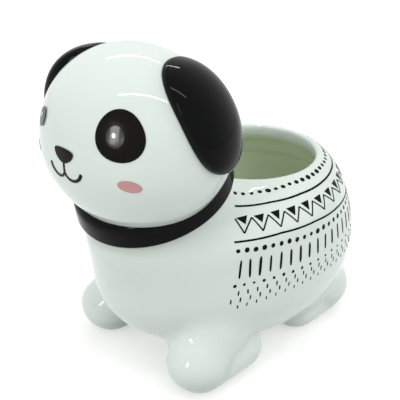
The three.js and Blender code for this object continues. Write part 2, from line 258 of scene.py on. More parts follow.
# White enamel of the glint in each eye, bright and glossy
dotWhite = {
    "deep": "#f4f6f4", "thin": "#ffffff", "ior": 1.5, "roughness": 0.15,
    "brush": 2, "wave": 3, "waveDepth": 0.01,
}


def makeEnamel(name, look):
    material, tree, shader = newMaterial(name)
    at = addNode(tree, "ShaderNodeTexCoord").outputs["Object"]
    colour = blend(tree, linear(look["deep"]), linear(look["thin"]),
                   noiseAt(tree, at, look["brush"], Detail=4, Roughness=0.6))
    dress(tree, shader, look, colour, noiseAt(tree, at, look["wave"], Detail=1),
          look["waveDepth"])
    return material


# Moulded rubber of the stopper: matt, with a fine grain
stopperRubber = {"colour": "#3b3e3b", "worn": "#4a4d49", "roughness": 0.7, "grain": 0.5,
                 "grainDepth": 0.03, "ior": 1.52}


def makeRubber(name, look):
    material, tree, shader = newMaterial(name)
    at = addNode(tree, "ShaderNodeTexCoord").outputs["Object"]
    grain = noiseAt(tree, at, look["grain"], Detail=3)
    colour = blend(tree, linear(look["colour"]), linear(look["worn"]), grain)
    dress(tree, shader, look, colour, grain, look["grainDepth"])
    return material


potMaterial = makeWhiteGlaze("gloss_white_glaze_pot", whiteGlaze, True)
headMaterial = makeWhiteGlaze("gloss_white_glaze", whiteGlaze, False)
earMaterial = makeEnamel("gloss_black_glaze", blackGlaze)
markMaterial = makeEnamel("black_underglaze", enamelBlack)
rowMaterial = makeEnamel("printed_underglaze", printBlack)
cheekMaterial = makeEnamel("pink_underglaze", enamelPink)
glintMaterial = makeEnamel("white_enamel", dotWhite)
rubberMaterial = makeRubber("moulded_rubber", stopperRubber)
print("materials made")


# Pot: rings from the drain hole out over the foot, up to the lip and down inside.
# A section is half a width with its front and rear ends, in mm.
pot = {
    "segments": 64,
    "foot": (16, 1, 37), "belly": (48.5, -59, 73), "shoulder": (46, -64, 66.5),
    "bellyHeight": 41, "shoulderHeight": 66, "rimHeight": 79, "taper": 0.14,
    "flank": 1.85, "chest": 1.75, "rump": 2.6, "dome": 1.35,
    "wall": 5, "floor": 7, "opening": (28, -3.5, 54.5), "lipRound": 1.5, "lipDepth": 6,
    "drain": 5, "seat": 8.3, "seatDepth": 1.2, "flatRound": 14, "floorTurn": 0.12,
    "floorTaper": 0.9, "past": 6, "voxel": 1.15, "settle": 5,
}


def blended(a, b, t):
    return tuple(p + (q - p) * t for p, q in zip(a, b))


def grown(section, by):
    return section[0] + by, section[1] - by, section[2] + by


def bodyAt(z):
    low = pot["bellyHeight"]
    if z > low:
        t = (z - low) / (pot["shoulderHeight"] - low)
        return blended(pot["belly"], pot["shoulder"], t * t)
    swells = [(1 - (1 - z / low) ** power) ** (1 / power)
              for power in (pot["flank"], pot["chest"], pot["rump"])]
    return tuple(a + (b - a) * s for a, b, s in zip(pot["foot"], pot["belly"], swells))


def domeSections(start, end, low, high, steps):
    found = []
    for i in range(1, steps + 1):
        angle = i / steps * math.pi / 2
        t = 1 - math.cos(angle) ** (2 / pot["dome"])
        z = low + (high - low) * math.sin(angle) ** (2 / pot["dome"])
        found.append((blended(start, end, t), z, 1 - t))
    return found


def eased(low, high, count, power):
    return [low + (high - low) * (i / count) ** power for i in range(count + 1)]


# Each ring is a section, its height and its share of the taper
def ringStack(name, rings, fill=False):
    (half, front, rear), z, share = rings[0]
    bpy.ops.mesh.primitive_circle_add(
        vertices=pot["segments"], radius=mm, fill_type="NGON" if fill else "NOTHING",
        location=(0, ((front + rear) / 2 + shiftY) * mm, z * mm))
    piece = added(name)
    openMesh(piece)
    before = (1, 1, (front + rear) / 2, z)
    marks = []
    for i, ((half, front, rear), z, share) in enumerate(rings):
        middle, reach = (front + rear) / 2, (rear - front) / 2
        if i:
            step = (0, (middle - before[2]) * mm, (z - before[3]) * mm)
            extrude = bpy.ops.mesh.extrude_region_move if fill else bpy.ops.mesh.extrude_edges_move
            extrude(TRANSFORM_OT_translate={"value": step})
        bpy.ops.transform.resize(value=(half / before[0], reach / before[1], 1),
                                 center_override=(0, (middle + shiftY) * mm, z * mm))
        before = (half, reach, middle, z)
        marks.append((middle, reach, share))
    closeMesh()
    for i, vert in enumerate(piece.data.vertices):  # narrower at the chest than at the rump
        middle, reach, share = marks[min(i // pot["segments"], len(marks) - 1)]
        along = (vert.co.y / mm - shiftY - middle) / reach
        vert.co.x *= 1 + pot["taper"] * share * along
    return piece


footMiddle = (pot["foot"][1] + pot["foot"][2]) / 2
rim = pot["rimHeight"]


def roundAt(radius):
    return radius, footMiddle - radius, footMiddle + radius


def outerRings():
    rings = [(pot["foot"], 0, 1)]
    rings += [(bodyAt(z), z, 1) for z in eased(0, pot["bellyHeight"], count=11, power=2)[1:]]
    rings += [(bodyAt(z), z, 1) for z in
              eased(pot["bellyHeight"], pot["shoulderHeight"], count=5, power=1)[1:]]
    lipTop = grown(pot["opening"], pot["lipRound"])
    return rings + domeSections(pot["shoulder"], lipTop, pot["shoulderHeight"], rim, steps=9)


# From the lip down to the floor, as far inside the outer skin as the wall is thick
def innerRings(wall):
    undercut = rim - pot["lipDepth"]
    shoulder = pot["shoulderHeight"] - pot["wall"]
    inside = grown(bodyAt(pot["shoulderHeight"]), -wall)
    under = domeSections(inside, grown(pot["opening"], pot["wall"] - wall), shoulder, undercut,
                         steps=6)
    heights = eased(pot["floor"] - pot["wall"] + wall, pot["bellyHeight"], count=8, power=1.6)
    lower = [(grown(bodyAt(z), -wall), z, 1) for z in heights + [shoulder]]
    return list(reversed(lower + under))


def lipRings(steps=5):
    rings = []
    for i in range(1, steps + 1):
        angle = (1 - i / steps) * math.pi / 2
        z = rim - pot["lipRound"] * (1 - math.sin(angle))
        rings.append((grown(pot["opening"], pot["lipRound"] * (1 - math.cos(angle))), z, 0))
    return rings


seatLow = pot["floor"] - pot["seatDepth"]
floorRing = grown(bodyAt(pot["floor"]), -pot["wall"])
flatRound = roundAt(pot["flatRound"])
potRings = (
    [(roundAt(pot["drain"]), 0, 0), (flatRound, 0, 0)] + outerRings() + lipRings()
    + innerRings(pot["wall"])
    + [(blended(floorRing, flatRound, pot["floorTurn"]), pot["floor"], pot["floorTaper"]),
       (flatRound, pot["floor"], 0), (roundAt(pot["seat"]), pot["floor"], 0),
       (roundAt(pot["seat"]), seatLow, 0), (roundAt(pot["drain"]), seatLow, 0),
       (roundAt(pot["drain"]), 0, 0)]
)
shell = ringStack("pot", potRings)
tidyNormals(shell)
modify(shell, "SUBSURF", levels=2, render_levels=2)
print("pot rings", len(shell.data.vertices))

# What the neck and the paws are cut back to: the middle of the wall
middleWall = pot["wall"] / 2
wallRings = list(reversed(innerRings(middleWall))) + [
    (grown(pot["opening"], middleWall), rim + pot["past"], 0)]
core = ringStack("core", wallRings, fill=True)
tidyNormals(core)

# Neck, on an axis that leans forward. Its heights are from its top.
neck = {"tilt": 20, "top": (-35, 86), "radius": 27.3, "flare": 7, "length": 30, "wall": 4.5,
        "past": 4}
neckTop = Vector((0, (neck["top"][0] + shiftY) * mm, neck["top"][1] * mm))
neckAxis = Vector((0, -math.sin(math.radians(neck["tilt"])), math.cos(math.radians(neck["tilt"]))))
neckTurn = Matrix.Rotation(math.radians(neck["tilt"]), 4, "X")


def onNeck(name, profile):
    piece = turned(name, profile)
    piece.data.transform(Matrix.Translation(neckTop) @ neckTurn)
    tidyNormals(piece)
    return piece


def neckProfile(steps=8):
    shares = [1 - i / steps for i in range(steps + 1)]
    return [(neck["radius"] + neck["flare"] * t * t, -neck["length"] * t) for t in shares]


neckBody = onNeck("neck", neckProfile())
inner = neck["radius"] - neck["wall"]
neckHollow = onNeck("neckHollow", [(inner, -neck["length"]), (inner, neck["past"])])

# Paws: round lobes on the ground, each pulled out along Y
paws = {
    "front": {"x": 28.3, "tip": -48.5, "length": 45.5, "width": 24.5, "height": 19.5},
    "rear": {"x": 28.7, "tip": 15, "length": 38, "width": 23, "height": 20},
    "sole": 1, "farFront": 2.2,
}
# Masses over the paws, each with its middle and its half sizes
lobes = {
    "toe": ((28, -37, 12.7), (13.4, 13.4, 13)),
    "arm": ((23.5, -26, 21), (15.5, 17, 17)),
    "haunch": ((24.8, 44, 13), (17, 17, 15)),
}


# The right forearm sits a little further out and back than the left one
def handMade(x, y, side):
    shift = paws["farFront"] if side < 0 and y < 0 else 0
    return side * (x + shift) * mm, (y + shift + shiftY) * mm


def cutAtGround(piece):
    bpy.ops.mesh.bisect(plane_co=(0, 0, 0), plane_no=(0, 0, 1), clear_inner=True, use_fill=True)
    closeMesh()
    tidyNormals(piece)
    return piece


def makePaw(name, size, side):
    half = size["width"] / 2
    across, middle = handMade(size["x"], size["tip"] + size["length"] / 2, side)
    bpy.ops.mesh.primitive_uv_sphere_add(
        segments=48, ring_count=32, radius=half * mm, rotation=(math.pi / 2, 0, 0),
        location=(across, middle, (size["height"] / 2 - paws["sole"]) * mm))
    piece = added(name)
    openMesh(piece)
    bpy.ops.transform.resize(value=(1, 1, size["height"] / size["width"]),
                             center_override=(0, 0, (size["height"] / 2 - paws["sole"]) * mm))
    for end in (-1, 1):
        selectWhere(piece, lambda co: (co.y - middle) * end > 0.01 * mm)
        bpy.ops.transform.translate(value=(0, end * (size["length"] / 2 - half) * mm, 0))
    bpy.ops.mesh.select_all(action="SELECT")
    return cutAtGround(piece)


pawPieces = [makePaw(f"{end}Paw{side}", paws[end], side) for end in ("front", "rear")
             for side in (-1, 1)]


def makeLobe(name, at, half, side):
    middle = (*handMade(at[0], at[1], side), at[2] * mm)
    bpy.ops.mesh.primitive_uv_sphere_add(segments=48, ring_count=32, radius=mm, location=middle)
    piece = added(name)
    openMesh(piece)
    bpy.ops.transform.resize(value=half, center_override=middle)
    return cutAtGround(piece)


lobePieces = [makeLobe(f"{name}{side}", *lobes[name], side) for side in (-1, 1) for name in lobes]
for piece in pawPieces + lobePieces + [neckBody]:
    cutBy(piece, core)
for piece in (shell, neckBody):
    cutBy(piece, neckHollow)
print("neck and paws cut to the wall")


def treeOf(piece):
    mesh = bmesh.new()
    mesh.from_mesh(piece.data)
    tree = BVHTree.FromBMesh(mesh)
    mesh.free()
    return tree


shellTree, neckTree = treeOf(shell), treeOf(neckBody)
pawTrees = [treeOf(piece) for piece in pawPieces]
lobeTrees = [treeOf(piece) for piece in lobePieces]
coreTree = treeOf(core)

# One skin over all of them, with the creases run full of slip
potBody = joined([shell, neckBody] + pawPieces + lobePieces, "glazed_pot")
modify(potBody, "REMESH", mode="VOXEL", voxel_size=pot["voxel"] * mm, use_smooth_shade=True)
# Reaches in mm and rounds of smoothing for the creases, and how dark the painted shade in the paw
# creases gets
crease = {"neckReach": 10, "neckRounds": 160, "pawReach": 3, "pawRounds": 10,
          "softReach": 8, "softRounds": 110, "softLow": 5, "softHigh": 15, "lipClear": 7,
          "strength": 1.6, "creaseShade": 0.8}
neckGroup = potBody.vertex_groups.new(name="neckCrease")
pawGroup = potBody.vertex_groups.new(name="pawCrease")
softGroup = potBody.vertex_groups.new(name="softCrease")


def nearness(distance, reach):
    return max(0, 1 - distance / (reach * mm))


def ramp01(value, start, end):
    t = min(1, max(0, (value - start) / (end - start)))
    return t * t * (3 - 2 * t)


# The smoothing fades out where the lip starts, so that the lip keeps its line
def lipShare(point):
    half, front, rear = grown(pot["opening"], pot["wall"])
    x, y = point.x / mm / half, (point.y / mm - shiftY - (front + rear) / 2) / ((rear - front) / 2)
    out = (math.hypot(x, y) - 1) * half
    return ramp01(out, 0, crease["lipClear"])


creaseShadeList, insideList = [], []
for vert in potBody.data.vertices:
    spot, normal = coreTree.find_nearest(vert.co)[:2]
    inside = (vert.co - spot).dot(normal) < 0
    toShell = shellTree.find_nearest(vert.co)[3]
    toNeck = neckTree.find_nearest(vert.co)[3]
    toPaw = min(tree.find_nearest(vert.co)[3] for tree in pawTrees)
    skins = sorted([toShell] + [tree.find_nearest(vert.co)[3] for tree in lobeTrees])
    byNeck = nearness(max(toShell, toNeck), crease["neckReach"]) * lipShare(vert.co)
    byPaw = nearness(max(skins[0], toPaw), crease["pawReach"])
    # above the ground the masses run into the body and each other without a line
    bySoft = nearness(skins[1], crease["softReach"]) * ramp01(
        vert.co.z / mm, crease["softLow"], crease["softHigh"])
    if not inside:
        for group, share in ((neckGroup, byNeck), (pawGroup, byPaw), (softGroup, bySoft)):
            group.add([vert.index], min(1, crease["strength"] * share), "REPLACE")
    insideList.append(1.0 if inside else 0.0)
    # painted shade for the paw creases, strongest nearest them
    creaseShadeList.append(crease["creaseShade"] * byPaw ** 2)
for group, rounds in (("neckCrease", crease["neckRounds"]), ("pawCrease", crease["pawRounds"]),
                      ("softCrease", crease["softRounds"])):
    modify(potBody, "SMOOTH", factor=0.5, iterations=rounds, vertex_group=group)
modify(potBody, "SMOOTH", factor=0.5, iterations=pot["settle"])
for name, values in (("pawCreaseShade", creaseShadeList), ("potInside", insideList)):
    attribute = potBody.data.attributes.new(name, "FLOAT", "POINT")
    attribute.data.foreach_set("value", values)
potBody.vertex_groups.clear()
for tool in (core, neckHollow):
    bpy.data.objects.remove(tool, do_unlink=True)
place(potBody, "planter", "white_glaze", potMaterial, "pot_body", "front_paw_left",
      "front_paw_right", "rear_paw_left", "rear_paw_right", angle=60)
print("pot skin", len(potBody.data.polygons), "faces")

# Head: an egg that is cut flat on the neck and hollow
head = {"centre": (-41.9, 104.5), "half": (40, 33.2, 36.8), "nod": 3.3, "wall": 4.5, "seam": 0.3,
        "chin": 0.22, "outside": 80}
headCentre = Vector((0, (head["centre"][0] + shiftY) * mm, head["centre"][1] * mm))
headTurn = Matrix.Rotation(math.radians(head["nod"]), 4, "X")


def makeEgg(name, grow, segments=128, rings=96):
    bpy.ops.mesh.primitive_uv_sphere_add(segments=segments, ring_count=rings, radius=1)
    piece = added(name)
    for vert in piece.data.vertices:  # draws in below, towards the collar
        drawn = 1 - head["chin"] * min(0, vert.co.z) ** 2
        vert.co.x *= drawn
        vert.co.y *= drawn
    openMesh(piece)
    bpy.ops.transform.resize(value=[(half + grow) * mm for half in head["half"]],
                             center_override=(0, 0, 0))
    closeMesh()
    piece.data.transform(Matrix.Translation(headCentre) @ headTurn)
    return piece


headShell = makeEgg("glazed_head", 0)
headTree = treeOf(headShell)
openMesh(headShell)
bpy.ops.mesh.bisect(plane_co=neckTop + neckAxis * head["seam"] * mm, plane_no=neckAxis,
                    clear_inner=True)
closeMesh()
modify(headShell, "SOLIDIFY", thickness=head["wall"] * mm, offset=-1)
tidyNormals(headShell)
place(headShell, "planter", "white_glaze", headMaterial, "head", angle=50)
print("head")


def direction(sideways, up):
    a, e = math.radians(sideways), math.radians(up)
    return Vector((math.sin(a) * math.cos(e), -math.cos(a) * math.cos(e), math.sin(e)))


def onHead(unit, grow):
    drawn = 1 - head["chin"] * min(0, unit.z) ** 2
    point = Vector([c * (half + grow) * mm for c, half in zip(unit, head["half"])])
    point.x *= drawn
    point.y *= drawn
    return headTurn @ point + headCentre


# Ears: lobes that lie on the sides of the head, thin at the crown and full below
ears = {"around": 106.5, "up": 30, "halfWidth": 20.8, "halfLength": 28.4, "squareness": 2.3,
        "lean": -6.5, "full": 4.8, "root": 1.8, "thinning": 5, "edge": 1.2, "roundness": 4,
        "sunk": 0.6, "skirt": 0.3, "skirtRise": 3, "farAround": 99.5, "farUp": 20.5, "farFull": 7}


def makeEar(name, side):
    bpy.ops.mesh.primitive_uv_sphere_add(segments=96, ring_count=64, radius=1)
    piece = added(name)
    around, up = (ears["around"], ears["up"]) if side > 0 else (ears["farAround"], ears["farUp"])
    thick = ears["full"] if side > 0 else ears["farFull"]
    axis = direction(around, up)
    across = direction(around + 90, 0)
    upward = across.cross(axis) * -1
    lean = math.radians(ears["lean"])
    for vert in piece.data.vertices:  # a round cushion becomes a lobe wrapped on the head
        reach = math.hypot(vert.co.x, vert.co.y)
        u, v = (vert.co.x / reach, vert.co.y / reach) if reach > 1e-6 else (0, 0)
        square = [math.copysign(abs(c) ** (2 / ears["squareness"]), c) for c in (u, v)]
        a0 = reach * square[0] * ears["halfWidth"] / head["half"][0]
        b0 = reach * square[1] * ears["halfLength"] / head["half"][0]
        a = a0 * math.cos(lean) - b0 * math.sin(lean)
        b = a0 * math.sin(lean) + b0 * math.cos(lean)
        unit = (axis + across * a + upward * b).normalized()
        full = thick + (ears["root"] - thick) * ((1 + reach * v) / 2) ** ears["thinning"]
        cushion = math.sqrt(max(0, 1 - reach ** ears["roundness"]))
        if vert.co.z >= -1e-6:
            skirt = ears["skirt"] + (1 - ears["skirt"]) * min(1, ears["skirtRise"] * vert.co.z)
            rise = ears["edge"] * skirt + (full - ears["edge"]) * cushion
        else:
            rise = -ears["sunk"]
        vert.co = onHead(unit, rise)
        vert.co.x *= side
    tidyNormals(piece)
    return piece


for name, side in (("ear_left", 1), ("ear_right", -1)):
    place(makeEar("glazed_" + name, side), "planter", "black_glaze", earMaterial, name,
          angle=60)
print("ears")

# Collar: a rounded band spun about the neck's axis
collar = {"height": 10.8, "thickness": 5.5, "drop": 0.8, "inside": 1.5, "corner": 1.5,
          "brow": 4, "lean": 1.8}
depth = collar["thickness"] + collar["inside"]
bandMiddle = ((neck["radius"] - collar["inside"] + depth / 2) * mm, 0, -collar["drop"] * mm)
bpy.ops.mesh.primitive_plane_add(size=mm, rotation=(math.pi / 2, 0, 0), location=bandMiddle)
collarBand = added("glazed_collar")
openMesh(collarBand)
bpy.ops.transform.resize(value=(depth, 1, collar["height"]), center_override=bandMiddle)
# the outer corner on top leans in and is rounder than the others
selectWhere(collarBand, lambda co: co.x > neck["radius"] * mm and co.z > 0)
bpy.ops.transform.translate(value=(-collar["lean"] * mm, 0, 0))
bpy.ops.mesh.bevel(offset=collar["brow"] * mm, segments=12, affect="VERTICES")
selectWhere(collarBand, lambda co: co.x < neck["radius"] * mm or co.z < -collar["drop"] * mm)
bpy.ops.mesh.bevel(offset=collar["corner"] * mm, segments=8, affect="VERTICES")
bpy.ops.mesh.delete(type="ONLY_FACE")
bpy.ops.mesh.select_all(action="SELECT")
bpy.ops.mesh.spin(steps=160, angle=2 * math.pi, center=(0, 0, 0), axis=(0, 0, 1))
closeMesh()
collarBand.data.transform(Matrix.Translation(neckTop) @ neckTurn)
tidyNormals(collarBand, 1e-5)
place(collarBand, "planter", "black_glaze", earMaterial, "collar", angle=60)
print("collar")

# Marks laid on the head. Each starts as an outline in mm, filled by rings that shrink to
# its middle.
def flatOutline(name, outline, rings=(0.86, 0.7, 0.5, 0.28)):
    count = len(outline)
    middle = sum((Vector(p) for p in outline), Vector((0, 0))) / count
    bpy.ops.mesh.primitive_circle_add(vertices=count, radius=mm, fill_type="NGON")
    piece = added(name)
    for vert, point in zip(piece.data.vertices, outline):
        vert.co = Vector((point[0], point[1], 0)) * mm
    openMesh(piece, "FACE")
    before = 1
    for ring in rings:
        bpy.ops.mesh.extrude_region_move(TRANSFORM_OT_translate={"value": (0, 0, 0)})
        bpy.ops.transform.resize(value=(ring / before, ring / before, 1),
                                 center_override=(middle.x * mm, middle.y * mm, 0))
        before = ring
    closeMesh()
    return piece


# Catmull-Rom curve from the second of four points to the third
def curveAt(four, t):
    p0, p1, p2, p3 = (Vector(p) for p in four)
    return 0.5 * (2 * p1 + (p2 - p0) * t + (2 * p0 - 5 * p1 + 4 * p2 - p3) * t ** 2
                  + (3 * p1 - p0 - 3 * p2 + p3) * t ** 3)


# Closed and open curves through points that are given as parts of a size
def smoothLoop(points, size, count=64):
    found = []
    for i in range(count):
        along = i / count * len(points)
        k = int(along)
        four = [points[(k + j) % len(points)] for j in (-1, 0, 1, 2)]
        found.append(size * curveAt(four, along % 1))
    return found


def openCurve(points, size, count):
    last = len(points) - 1
    found = []
    for i in range(count + 1):
        along = min(i / count * last, last - 0.0001)
        k = int(along)
        four = [points[min(max(k + j, 0), last)] for j in (-1, 0, 1, 2)]
        found.append(size * curveAt(four, along % 1))
    return found


def oval(halfWidth, halfHeight, count=48, turn=0):
    c, s = math.cos(math.radians(turn)), math.sin(math.radians(turn))
    found = []
    for i in range(count):
        angle = i / count * 2 * math.pi
        x, y = halfWidth * math.cos(angle), halfHeight * math.sin(angle)
        found.append((x * c - y * s, x * s + y * c))
    return found


# Drapes a flat piece on the head and gives it its thickness, mostly sunk in
def layOnHead(piece, sideways, up, lift, thickness=0.8):
    facing, right = direction(sideways, up), direction(sideways + 90, 0)
    upward = facing.cross(right)
    origin = headCentre + facing * (head["outside"] * mm)
    for vert in piece.data.vertices:
        start = origin + right * vert.co.x + upward * vert.co.y
        spot, normal = headTree.ray_cast(start, -facing)[:2]
        vert.co = spot + normal * lift * mm
    piece.data.update()
    tidyNormals(piece)
    middle = len(piece.data.polygons) // 2
    if piece.data.polygons[middle].normal.dot(facing) < 0:
        piece.data.flip_normals()
    modify(piece, "SOLIDIFY", thickness=thickness * mm, offset=-1)


def mirrored(piece, name):
    copy = newObject(name, piece.data.copy())
    copy.data.transform(Matrix.Scale(-1, 4, (1, 0, 0)))
    copy.data.flip_normals()
    return copy


# Face marks in mm and degrees; the painted sheen on each eye spreads over its reach
face = {
    "lift": 0.25, "line": 0.8, "lineEnd": 1.3,
    "patchAt": (37, 22), "patchMiddle": (2, 1.75), "patchRound": 8.85,
    "patchSwells": ((2, 0.22, -56), (3, 0.25, -29)),
    "eyeAt": (38, 24.5), "farEyeAt": (33, 20.5), "eyeHalf": (3.2, 3.7), "eyeLift": 0.55,
    "sheenReach": 3.6, "glintHalf": (0.7, 0.84), "glintAside": 0.5, "glintLift": 0.67,
    "glintDepth": 0.3, "noseUp": 4.4, "noseHalf": 5.2, "noseLift": 0.35,
    "mouthHalf": 8.3, "stemTop": 2.2, "stemStep": 0.55, "stemSteps": 9, "stemLift": 0.27,
    "cheekAt": (45.5, -3), "cheekHalf": (4.3, 2.2), "cheekTurn": -8, "cheekLift": 0.12,
}
nosePoints = [(-0.98, 0.28), (-0.6, 0.46), (0, 0.5), (0.6, 0.46), (0.98, 0.28), (0.79, -0.17),
              (0.26, -0.51), (-0.26, -0.51), (-0.79, -0.17)]
lipPoints = [(0, -0.25), (0.14, -0.45), (0.39, -0.55), (0.67, -0.49), (0.89, -0.33), (1, -0.14)]


# A hand-painted round: each swell is its number of lobes, its height in mm and its bearing
def patchOutline(count=96):
    found = []
    for i in range(count):
        angle = 2 * math.pi * i / count
        reach = face["patchRound"] + sum(
            high * math.cos(lobeCount * (angle - math.radians(turn)))
            for lobeCount, high, turn in face["patchSwells"])
        found.append(Vector(face["patchMiddle"])
                     + reach * Vector((math.cos(angle), math.sin(angle))))
    return found


patch = flatOutline("eye_patch_print", patchOutline())
layOnHead(patch, *face["patchAt"], face["lift"])
place(patch, "planter", "black_enamel", markMaterial, "eye_patch")

nose = flatOutline("nose_print", [p + Vector((0, face["noseUp"])) for p in
                                  smoothLoop(nosePoints, face["noseHalf"], 60)])
layOnHead(nose, 0, 0, face["noseLift"])
place(nose, "planter", "black_enamel", markMaterial, "nose")

cheek = flatOutline("cheek_print_left", oval(*face["cheekHalf"], 48, face["cheekTurn"]))
layOnHead(cheek, *face["cheekAt"], face["cheekLift"])
otherCheek = mirrored(cheek, "cheek_print_right")
place(cheek, "planter", "pink_enamel", cheekMaterial, "cheek_left")
place(otherCheek, "planter", "pink_enamel", cheekMaterial, "cheek_right")


# A painted line, in mm, with one round end
def ribbon(name, path, width, endWidth, fans=6):
    left, right = [], []
    last = len(path) - 1
    for i, point in enumerate(path):
        along = (path[min(i + 1, last)] - path[max(i - 1, 0)]).normalized()
        side = Vector((-along.y, along.x)) * (width + (endWidth - width) * i / last) / 2
        left.append(point + side)
        right.append(point - side)
    end = path[-1]
    along = (end - path[-2]).normalized()
    side = Vector((-along.y, along.x))
    angles = [math.pi / 2 - math.pi * i / fans for i in range(1, fans)]
    tips = [end + (side * math.sin(angle) + along * math.cos(angle)) * endWidth / 2
            for angle in angles]
    count = len(path)
    faces = [(i, i + 1, count + i + 1, count + i) for i in range(count - 1)]
    faces.append((count - 1, *range(2 * count, 2 * count + len(tips)), 2 * count - 1))
    mesh = bpy.data.meshes.new(name)
    mesh.from_pydata([(p.x * mm, p.y * mm, 0) for p in left + right + tips], [], faces)
    return newObject(name, mesh)


lipLine = ribbon("mouth_print", openCurve(lipPoints, face["mouthHalf"], 24), face["line"],
                 face["lineEnd"])
layOnHead(lipLine, 0, 0, face["lift"])
otherLip = mirrored(lipLine, "mouthRight")
stemPath = [Vector((0, face["stemTop"] - face["stemStep"] * i))
            for i in range(face["stemSteps"] + 1)]
stem = ribbon("mouthStem", stemPath, face["line"], face["line"])
layOnHead(stem, 0, 0, face["stemLift"])
mouthPiece = joined([lipLine, otherLip, stem], "mouth_print")
place(mouthPiece, "planter", "black_enamel", markMaterial, "mouth")

# Eyes: glossy dark paint with a painted grey sheen that pales to its middle, and a white glint
eyeLook = {"rim": "#0e0c0b", "sheenGrey": "#2c322f", "middle": "#565f5b", "ior": 1.45,
           "roughness": 0.13, "sheenGreyAt": 0.45, "rimAt": 0.95}


def makeEyeMaterial(look, name, centre, reach):
    material, tree, shader = newMaterial(name)
    at = addNode(tree, "ShaderNodeTexCoord").outputs["Object"]
    moved = addNode(tree, "ShaderNodeMapping", {"vector_type": "TEXTURE"},
                    {"Location": centre, "Scale": [reach * mm] * 3, "Vector": at})
    far = addNode(tree, "ShaderNodeVectorMath", {"operation": "LENGTH"},
                  {0: moved.outputs["Vector"]})
    node = addNode(tree, "ShaderNodeValToRGB", None, {"Fac": far.outputs["Value"]})
    stops = node.color_ramp.elements
    stops[0].position, stops[0].color = 0, linear(look["middle"])
    stops[1].position, stops[1].color = look["rimAt"], linear(look["rim"])
    # painted sheen: a grey ring that pales to the middle colour at the centre
    stops.new(look["sheenGreyAt"]).color = linear(look["sheenGrey"])
    tree.links.new(node.outputs["Color"], shader.inputs["Base Color"])
    shader.inputs["Roughness"].default_value = look["roughness"]
    shader.inputs["IOR"].default_value = look["ior"]
    return material


for name, side in (("eye_left", 1), ("eye_right", -1)):
    around, up = face["eyeAt"] if side > 0 else face["farEyeAt"]
    eye = flatOutline("painted_" + name, oval(*face["eyeHalf"], 48))
    layOnHead(eye, side * around, up, face["eyeLift"])
    centre = onHead(direction(side * around, up), 0)
    eyeMaterial = makeEyeMaterial(eyeLook, "painted_" + name, centre, face["sheenReach"])
    place(eye, "planter", "black_enamel", eyeMaterial, name)
    aside = face["glintAside"]
    glintOutline = [(x - aside, y + aside) for x, y in oval(*face["glintHalf"], 20)]
    glint = flatOutline("glint_" + name, glintOutline, rings=(0.5,))
    layOnHead(glint, side * around, up, face["glintLift"], face["glintDepth"])
    place(glint, "planter", "black_enamel", glintMaterial)
print("face")

# Printed rows on the flanks and rump, laid out by the bearing from the rear and by
# the elevation over a point inside the pot. Rays start outside and above the skin.
rows = {
    "eye": (0, 15.9, 45), "stations": (138, 115, 92, 70, 50, 0), "start": 138, "step": 0.25,
    "squeezed": 2.5, "around": 2, "outside": 200, "above": 10, "lift": 0.1, "depth": 0.35,
    "lean": -0.04,
}
# How far the hand strays: parts of a size, radians for a turn, degrees for a rise
stray = {"dot": 0.2, "dotWidth": 0.1, "dotHeight": 0.12, "dotTurn": 0.5, "dotRise": 0.2,
         "dashLength": 0.08, "dashWidth": 0.15, "line": 0.05, "triangle": 0.08,
         "triangleTurn": 0.05}
skinTree = treeOf(potBody)
rowsEye = Vector(rows["eye"]) * mm


def between(values, bearing):
    stations = rows["stations"]
    b = abs(bearing)
    if b >= stations[0]:
        return values[0] + (values[1] - values[0]) * (stations[0] - b) / (stations[0] - stations[1])
    for i in range(len(stations) - 1):
        if b >= stations[i + 1]:
            t = (stations[i] - b) / (stations[i] - stations[i + 1])
            if i == len(stations) - 2:
                t = 1 - (1 - t) ** 2  # levels off at the rear
            return values[i] + (values[i + 1] - values[i]) * t
    return values[-1]


def onSkin(bearing, elevation):
    a, e = math.radians(bearing), math.radians(elevation)
    ray = Vector((math.sin(a) * math.cos(e), math.cos(a) * math.cos(e), math.sin(e)))
    return skinTree.ray_cast(rowsEye + ray * (rows["outside"] * mm), -ray)[:2]


# Bearings at even steps in mm along a row, from the left edge round the rear
def bearingsAlong(values, first, period, squeeze=0):
    found, travelled, target, i = [], 0, first, 0
    bearing = float(rows["start"])
    before = onSkin(bearing, between(values, bearing))[0]
    while bearing > -rows["start"]:
        bearing -= rows["step"]
        spot = onSkin(bearing, between(values, bearing))[0]
        step = (spot - before).length / mm
        while travelled + step >= target:
            found.append(bearing + rows["step"] * (travelled + step - target) / step)
            target += period * (1 - squeeze * math.exp(-i / rows["squeezed"]))
            i += 1
        travelled += step
        before = spot
    return found


# A spot on the skin with the directions across, up and out of it
def frameAt(bearing, elevation):
    d = rows["around"]
    near = [onSkin(bearing + a, elevation + b) for a, b in
            ((0, 0), (d, 0), (-d, 0), (0, d), (0, -d))]
    normal = sum((out for spot, out in near), Vector()).normalized()
    across = Vector((0, 0, 1)).cross(normal).normalized()
    return near[0][0], across, normal.cross(across), normal


def dropped(start, normal):
    return skinTree.ray_cast(start + normal * (rows["above"] * mm), -normal)[:2]


printMesh = bmesh.new()


# One flat mark, in mm, pressed on the skin
def press(points, faces, at, scale=(1, 1), turn=0):
    spot, across, upward, normal = at
    c, s = math.cos(turn), math.sin(turn)
    verts = []
    for x, y in points:
        x, y = x * scale[0], y * scale[1]
        start = spot + across * (x * c - y * s) * mm + upward * (x * s + y * c) * mm
        hit, out = dropped(start, normal)
        if hit is None:
            return
        verts.append(printMesh.verts.new(hit + out * rows["lift"] * mm))
    for corner in faces:
        printMesh.faces.new([verts[i] for i in corner])


dotSides = 14
dotPoints = [(0, 0)] + [(math.cos(2 * math.pi * i / dotSides), math.sin(2 * math.pi * i / dotSides))
                        for i in range(dotSides)]
dotFaces = [(0, i + 1, (i + 1) % dotSides + 1) for i in range(dotSides)]


